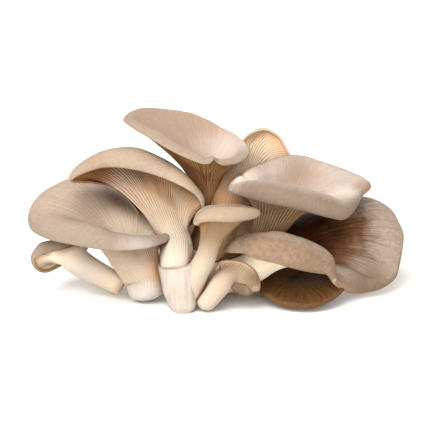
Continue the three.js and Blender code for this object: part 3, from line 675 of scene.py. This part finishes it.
def stump_rings():
    """Cut block of stem flesh: fluted sides, a slanting sharp-edged cut and a small flat foot."""
    columns, storeys = 200, 40
    u = np.arange(columns) / columns
    a = 2 * math.pi * u
    east = np.sign(np.cos(a)) * np.abs(np.cos(a)) ** STUMP_SQUARE
    north = np.sign(np.sin(a)) * np.abs(np.sin(a)) ** STUMP_SQUARE
    flutes = 1 + 0.008 * np.sin(7 * a + 1) + 0.005 * np.sin(17 * a) + 0.003 * np.sin(31 * a + 2)
    sections = np.array(STUMP, float)
    rings, growth = [], []

    def section(at, size):
        x, y, half, deep = (np.interp(at, sections[:, 0], sections[:, k]) for k in range(1, 5))
        fluted = flutes if at > 0 else np.ones(columns)
        px = half * east * fluted * size
        py = deep * north * fluted * size
        slant = STUMP_SLOPE * px * ease(12, STUMP_TOP, at)
        return np.stack([x + px, y + py, at + slant], 1)

    for k, size in enumerate((0, 0.5, 1)):
        rings.append(section(0, size))
        growth.append(0.3 * k)
    for k in range(1, storeys + 1):
        rings.append(section(STUMP_TOP * k / storeys, 1))
        growth.append(1 + 4 * k / storeys)
    dish = 0.35  # how far the cut sinks in its middle
    for k, size in enumerate((0.985, 0.93, 0.8, 0.6, 0.4, 0.2, 0)):
        rings.append(section(STUMP_TOP, size) - np.array([0, 0, dish * (1 - size)]))
        growth.append(5.2 + 0.3 * k)
    return np.array(rings), np.array(growth), np.ones((len(rings), columns))


# ---------------------------------------------------------------- finishes
def linear(colour):
    """sRGB hex colour as linear RGBA."""
    values = [int(colour[k : k + 2], 16) / 255 for k in (1, 3, 5)]
    return [v / 12.92 if v <= 0.04045 else ((v + 0.055) / 1.055) ** 2.4 for v in values] + [1.0]


def node(tree, kind, settings=(), inputs=()):
    """Adds a node with its settings; an input is a value or another node's output."""
    new = tree.nodes.new(kind)
    for key, value in dict(settings).items():
        setattr(new, key, value)
    for key, value in dict(inputs).items():
        if isinstance(value, bpy.types.NodeSocket):
            tree.links.new(value, new.inputs[key])
        else:
            new.inputs[key].default_value = value
    return new


def per_metre(millimetres):
    """Scale of a pattern on Object coordinates whose marks are that far apart."""
    return 1 / (millimetres * MM)


def mushroom_flesh(name, body):
    """Oyster mushroom skin: moist satin flesh with radial fibrils on the cap, pale gill edges over
    valleys in painted shade, painted shade inside the rolled margin and where the flesh is sheltered
    between the caps, and a whitish stem. Light goes a little way into it."""
    finish = {**FINISH, **body}
    fibrous, mottle, shelter_shade = finish["fibrous"], finish["mottle"], finish["shelter_shade"]
    hollow = finish["hollow"]
    foot, stem, gill, roll_shade, valley_shade, edge, band, cap, centre = TONES[name]
    material = bpy.data.materials.new("oyster flesh, " + name.replace("_", " "))
    material.use_nodes = True
    tree = material.node_tree
    tree.nodes.clear()
    uv = node(tree, "ShaderNodeUVMap", {"uv_map": "growth"})
    split = node(tree, "ShaderNodeSeparateXYZ", (), {0: uv.outputs[0]})
    around, outwards = split.outputs[0], split.outputs[1]
    place = node(tree, "ShaderNodeTexCoord").outputs["Object"]

    # Fibrils run out from the middle on a circle, so they close without a seam. At the margin
    # of a large cap the fine ones are about 1 mm apart and 15 mm long, and the broad rays
    # about 2 mm apart and 30 mm long.
    streaks = body["gills"] / 3
    turn = node(tree, "ShaderNodeMath", {"operation": "MULTIPLY"}, {0: around, 1: 2 * math.pi})
    cosine = node(tree, "ShaderNodeMath", {"operation": "COSINE"}, {0: turn.outputs[0]})
    sine = node(tree, "ShaderNodeMath", {"operation": "SINE"}, {0: turn.outputs[0]})
    hoop = node(
        tree, "ShaderNodeCombineXYZ", (), {0: cosine.outputs[0], 1: sine.outputs[0], 2: outwards}
    )
    fine = node(
        tree, "ShaderNodeMapping", (),
        {0: hoop.outputs[0], 3: (0.7 * streaks, 0.7 * streaks, 20)},
    )
    broad = node(
        tree, "ShaderNodeMapping", (), {0: hoop.outputs[0], 3: (streaks / 3, streaks / 3, 9)}
    )
    fibril = node(
        tree, "ShaderNodeTexNoise", (),
        {"Vector": fine.outputs[0], "Scale": 1.0, "Detail": 4.0, "Roughness": 0.7, "Distortion": 1.2},
    )
    ray = node(
        tree, "ShaderNodeTexNoise", (), {"Vector": broad.outputs[0], "Scale": 1.0, "Detail": 2.0}
    )
    # cloudy areas 8 mm across and grain of 0.7 mm
    cloud = node(
        tree, "ShaderNodeTexNoise", (), {"Vector": place, "Scale": per_metre(25 / 3), "Detail": 3.0}
    )
    grain = node(
        tree, "ShaderNodeTexNoise", (), {"Vector": place, "Scale": per_metre(5 / 7), "Detail": 2.0}
    )

    # The tones follow the growth scale, a little unevenly
    shift = node(
        tree, "ShaderNodeMath", {"operation": "MULTIPLY_ADD"}, {0: cloud.outputs[0], 1: 0.04, 2: -0.045}
    )
    shift = node(
        tree, "ShaderNodeMath", {"operation": "MULTIPLY_ADD"},
        {0: fibril.outputs[0], 1: 0.05, 2: shift.outputs[0]},
    )
    along = node(tree, "ShaderNodeMath", {"operation": "ADD"}, {0: outwards, 1: shift.outputs[0]})
    ramp = node(tree, "ShaderNodeValToRGB", (), {0: along.outputs[0]})
    crest, halfway_tone = body.get("crest", band), body.get("halfway_tone", cap)
    # From the gills near the margin into the inside of the roll the tone goes over to painted shade
    stops = [
        (0.10, foot), (0.24, stem), (0.33, gill), (0.38, gill), (0.46, roll_shade), (0.55, roll_shade),
        (0.63, edge), (0.67, band), (0.79, crest), (0.88, cap), (hollow[0], cap),
        (0.5 * (hollow[0] + hollow[1]), halfway_tone), (hollow[1], centre),
    ]
    first, last = ramp.color_ramp.elements
    first.position, first.color = stops[0][0], linear(stops[0][1])
    last.position, last.color = stops[-1][0], linear(stops[-1][1])
    for position, colour in stops[1:-1]:
        ramp.color_ramp.elements.new(position).color = linear(colour)

    # Fibrils and rays lighten and darken the cap, and hardly the stem
    streaked = node(
        tree, "ShaderNodeMapRange", (), {0: fibril.outputs[0], 1: 0.3, 2: 0.7, 3: 0.0, 4: 1.0}
    )
    rayed = node(
        tree, "ShaderNodeMapRange", (), {0: ray.outputs[0], 1: 0.3, 2: 0.7, 3: 0.0, 4: 1.0}
    )
    both = node(
        tree, "ShaderNodeMath", {"operation": "MULTIPLY"}, {0: streaked.outputs[0], 1: 0.6}
    )
    both = node(
        tree, "ShaderNodeMath", {"operation": "MULTIPLY_ADD"},
        {0: rayed.outputs[0], 1: 0.4, 2: both.outputs[0]},
    )
    on_cap = node(tree, "ShaderNodeMapRange", (), {0: outwards, 1: 0.8, 2: 0.89, 3: 0.22, 4: 1.0})
    darker = node(
        tree, "ShaderNodeMath", {"operation": "MULTIPLY"}, {0: both.outputs[0], 1: on_cap.outputs[0]}
    )
    shade = node(
        tree, "ShaderNodeMapRange", (),
        {0: darker.outputs[0], 1: 0.0, 2: 1.0, 3: 1 + 0.4 * fibrous, 4: 1 - 0.9 * fibrous},
    )
    # From the margin on, flecks about 2 mm apart mottle the rolled band
    fleck = node(
        tree, "ShaderNodeTexNoise", (),
        {"Vector": place, "Scale": per_metre(2), "Detail": 6.0, "Roughness": 0.75},
    )
    dapple = node(
        tree, "ShaderNodeMapRange", (), {0: fleck.outputs[0], 1: 0.35, 2: 0.65, 3: -mottle, 4: mottle}
    )
    rolled = node(tree, "ShaderNodeMapRange", (), {0: outwards, 1: 0.6, 2: 0.68, 3: 0.0, 4: 1.0})
    dapple = node(
        tree, "ShaderNodeMath", {"operation": "MULTIPLY_ADD"},
        {0: dapple.outputs[0], 1: rolled.outputs[0], 2: 1.0},
    )
    shade = node(
        tree, "ShaderNodeMath", {"operation": "MULTIPLY"}, {0: shade.outputs[0], 1: dapple.outputs[0]}
    )
    toned = node(
        tree, "ShaderNodeVectorMath", {"operation": "SCALE"}, {0: ramp.outputs[0], 3: shade.outputs[0]}
    ).outputs[0]

    # Patches of painted light, painted shade and paler or darker flesh, with ragged edges
    for middle, radius, colour in LIGHT_SHADE_AND_TONE_PATCHES.get(name, ()):
        point = [(a + b) * MM for a, b in zip(middle, MIDDLE)]
        away = node(tree, "ShaderNodeVectorMath", {"operation": "DISTANCE"}, {0: place, 1: point})
        ragged = node(
            tree, "ShaderNodeMath", {"operation": "MULTIPLY_ADD"},
            {0: ray.outputs[0], 1: 0.3 * radius * MM, 2: away.outputs["Value"]},
        )
        near = node(
            tree, "ShaderNodeMapRange", {"interpolation_type": "SMOOTHSTEP"},
            {0: ragged.outputs[0], 1: 0.2 * radius * MM, 2: 1.2 * radius * MM, 3: 0.85, 4: 0.0},
        )
        toned = node(
            tree, "ShaderNodeMix", {"data_type": "RGBA"},
            {0: near.outputs[0], 6: toned, 7: linear(colour)},
        ).outputs[2]
    # Painted shade in the valleys between the gills: the lower the relief, the more of the valley tone
    relief = node(tree, "ShaderNodeAttribute", {"attribute_name": "relief"})
    deep = node(
        tree, "ShaderNodeMapRange", (), {0: relief.outputs["Fac"], 1: 0.0, 2: 0.8, 3: 0.85, 4: 0.0}
    )
    gilled = node(
        tree, "ShaderNodeMix", {"data_type": "RGBA"}, {0: deep.outputs[0], 6: toned, 7: linear(valley_shade)}
    )
    # Painted shade: flesh sheltered between the caps is darkened and turned more orange, in full on the
    # stem, gills and inside of the roll and less on the margin and cap
    nook = node(tree, "ShaderNodeAttribute", {"attribute_name": "shelter"})
    shade_amount = node(
        tree, "ShaderNodeMapRange", {"interpolation_type": "SMOOTHSTEP"},
        {0: nook.outputs["Fac"], 1: 0.2, 2: 0.8, 3: 0.0, 4: 1.0},
    )
    under = node(tree, "ShaderNodeMapRange", (), {0: outwards, 1: 0.5, 2: 0.65, 3: shelter_shade, 4: 0.3 * shelter_shade})
    shade_amount = node(
        tree, "ShaderNodeMath", {"operation": "MULTIPLY"}, {0: shade_amount.outputs[0], 1: under.outputs[0]}
    )
    hue = node(
        tree, "ShaderNodeMix", {"data_type": "RGBA"},
        {0: shade_amount.outputs[0], 6: (1, 1, 1, 1), 7: linear(SHADE_TONE)},
    )
    deepened = node(
        tree, "ShaderNodeMix", {"data_type": "RGBA", "blend_type": "MULTIPLY"},
        {0: 1.0, 6: gilled.outputs[2], 7: hue.outputs[2]},
    )

    # Fine lumps all over, and furrows along the rays inside the cap
    rough = node(
        tree, "ShaderNodeMapRange", (), {0: cloud.outputs[0], 1: 0.3, 2: 0.7, 3: 0.5, 4: 0.66}
    )
    lumps = node(
        tree, "ShaderNodeMath", {"operation": "MULTIPLY_ADD"},
        {0: grain.outputs[0], 1: 0.25, 2: both.outputs[0]},
    )
    inside = node(tree, "ShaderNodeMapRange", (), {0: outwards, 1: 0.8, 2: 0.88, 3: 0.15, 4: 1.0})
    furrow = node(
        tree, "ShaderNodeMath", {"operation": "MULTIPLY"}, {0: rayed.outputs[0], 1: inside.outputs[0]}
    )
    wrinkles = node(
        tree, "ShaderNodeBump", (),
        {"Strength": 1.3 * fibrous, "Distance": 1.2 * MM, "Height": furrow.outputs[0]},
    )
    bump = node(
        tree, "ShaderNodeBump", (),
        {"Strength": 0.4, "Distance": 0.4 * MM, "Height": lumps.outputs[0], "Normal": wrinkles.outputs[0]},
    )
    flesh = node(tree, "ShaderNodeBsdfPrincipled", (), {
        "Base Color": deepened.outputs[2], "Roughness": rough.outputs[0], "Normal": bump.outputs[0],
        "IOR": 1.4, "Specular IOR Level": finish["gloss"],
        "Subsurface Weight": 0.18, "Subsurface Scale": 3 * MM, "Subsurface Radius": (1.0, 0.6, 0.35),
    })
    node(tree, "ShaderNodeOutputMaterial", (), {0: flesh.outputs[0]})
    return material


def cut_flesh():
    """Cut stem flesh: white and matt, with long fibres and shallow grooves down its sides."""
    material = bpy.data.materials.new("cut stump flesh")
    material.use_nodes = True
    tree = material.node_tree
    tree.nodes.clear()
    place = node(tree, "ShaderNodeTexCoord")
    # fibres 1.4 mm apart and 25 mm long, and cloudy areas 7 mm across
    across, length = per_metre(10 / 7), per_metre(25)
    tall = node(
        tree, "ShaderNodeMapping", (), {0: place.outputs["Object"], 3: (across, across, length)}
    )
    fibre = node(
        tree, "ShaderNodeTexNoise", (),
        {"Vector": tall.outputs[0], "Scale": 1.0, "Detail": 4.0, "Roughness": 0.6},
    )
    cloud = node(
        tree, "ShaderNodeTexNoise", (),
        {"Vector": place.outputs["Object"], "Scale": per_metre(20 / 3), "Detail": 4.0},
    )
    both = node(
        tree, "ShaderNodeMath", {"operation": "MULTIPLY_ADD"},
        {0: cloud.outputs[0], 1: 0.6, 2: fibre.outputs[0]},
    )
    tone = node(
        tree, "ShaderNodeMapRange", (), {0: both.outputs[0], 1: 0.55, 2: 1.1, 3: 0.0, 4: 1.0}
    )
    colour = node(
        tree, "ShaderNodeMix", {"data_type": "RGBA"},
        {0: tone.outputs[0], 6: linear("#A69A8E"), 7: linear("#BBB1A8")},
    )
    bump = node(
        tree, "ShaderNodeBump", (),
        {"Strength": 0.5, "Distance": 0.5 * MM, "Height": both.outputs[0]},
    )
    flesh = node(tree, "ShaderNodeBsdfPrincipled", (), {
        "Base Color": colour.outputs[2], "Roughness": 0.6, "Normal": bump.outputs[0],
        "IOR": 1.4, "Specular IOR Level": 0.35,
        "Subsurface Weight": 0.2, "Subsurface Scale": 3 * MM, "Subsurface Radius": (1.0, 0.7, 0.45),
    })
    node(tree, "ShaderNodeOutputMaterial", (), {0: flesh.outputs[0]})
    return material


# ---------------------------------------------------------------- cluster
def place_piece(piece, body, solid, material):
    piece.data.materials.append(material)
    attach(piece, body)
    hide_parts(solid)


grown = {name: body_rings(body, number) for number, (name, body) in enumerate(BODIES.items())}
grown["stump"] = stump_rings()
closed = shelter({name: skin[0] for name, skin in grown.items()})
stump = closed_skin("stump_block", *grown["stump"], closed["stump"])
place_piece(stump, "root", "stump", cut_flesh())
for name, body in BODIES.items():
    piece = closed_skin(name + "_skin", *grown[name], closed[name])
    place_piece(piece, "root", name, mushroom_flesh(name, body))

# ---------------------------------------------------------------- table, light and camera
table = bpy.data.meshes.new("white table")
top = bmesh.new()
bmesh.ops.create_grid(top, x_segments=1, y_segments=1, size=4)
top.to_mesh(table)
top.free()
table_top = bpy.data.objects.new("white_table", table)
bpy.context.scene.collection.objects.link(table_top)
# matt laminate: an even pale face with next to no shine
laminate = bpy.data.materials.new("white matt laminate")
laminate.use_nodes = True
shader = laminate.node_tree.nodes["Principled BSDF"]
shader.inputs["Base Color"].default_value = linear("#EEEEEE")
shader.inputs["Roughness"].default_value = 0.9
shader.inputs["Specular IOR Level"].default_value = 0.1
table.materials.append(laminate)

LOOK_AT = Vector((MIDDLE[0] * MM, MIDDLE[1] * MM, 38 * MM))
VIEW_DISTANCE = 1.0  # metres from the camera to the middle of the cluster
VIEW_TILT = math.radians(15)  # how far the camera looks down


def soft_light(name, towards, power, spread, colour):
    """A broad studio light from that direction, so wide that its shadows have soft edges."""
    lamp = bpy.data.lights.new(name, "SUN")
    lamp.energy = power
    lamp.angle = math.radians(spread)
    lamp.color = linear(colour)[:3]
    holder = bpy.data.objects.new(name, lamp)
    holder.location = LOOK_AT + Vector(towards)
    holder.rotation_euler = Vector(towards).to_track_quat("Z", "Y").to_euler()
    bpy.context.scene.collection.objects.link(holder)


soft_light("overhead light", (-0.4, -0.6, 0.8), 3.8, 50, "#FFFCF7")
soft_light("front light", (0.1, -1.0, 0.2), 2.6, 50, "#FFF9F2")
soft_light("back light", (0.5, 1.0, 0.7), 1.4, 60, "#FFFCF7")
world = bpy.data.worlds.new("white studio")
world.use_nodes = True
air = world.node_tree.nodes["Background"]
air.inputs["Color"].default_value = (1.0, 0.99, 0.975, 1.0)
air.inputs["Strength"].default_value = 0.5
bpy.context.scene.world = world
bpy.context.scene.view_settings.view_transform = "Standard"

camera = bpy.data.cameras.new("camera")
camera.sensor_width = 36
camera.lens = 175.4  # millimetres: the cluster fills most of the width
camera.clip_end = 20
holder = bpy.data.objects.new("camera", camera)
holder.location = LOOK_AT + VIEW_DISTANCE * Vector((0, -math.cos(VIEW_TILT), math.sin(VIEW_TILT)))
holder.rotation_euler = (LOOK_AT - holder.location).to_track_quat("-Z", "Y").to_euler()
bpy.context.scene.collection.objects.link(holder)
bpy.context.scene.camera = holder
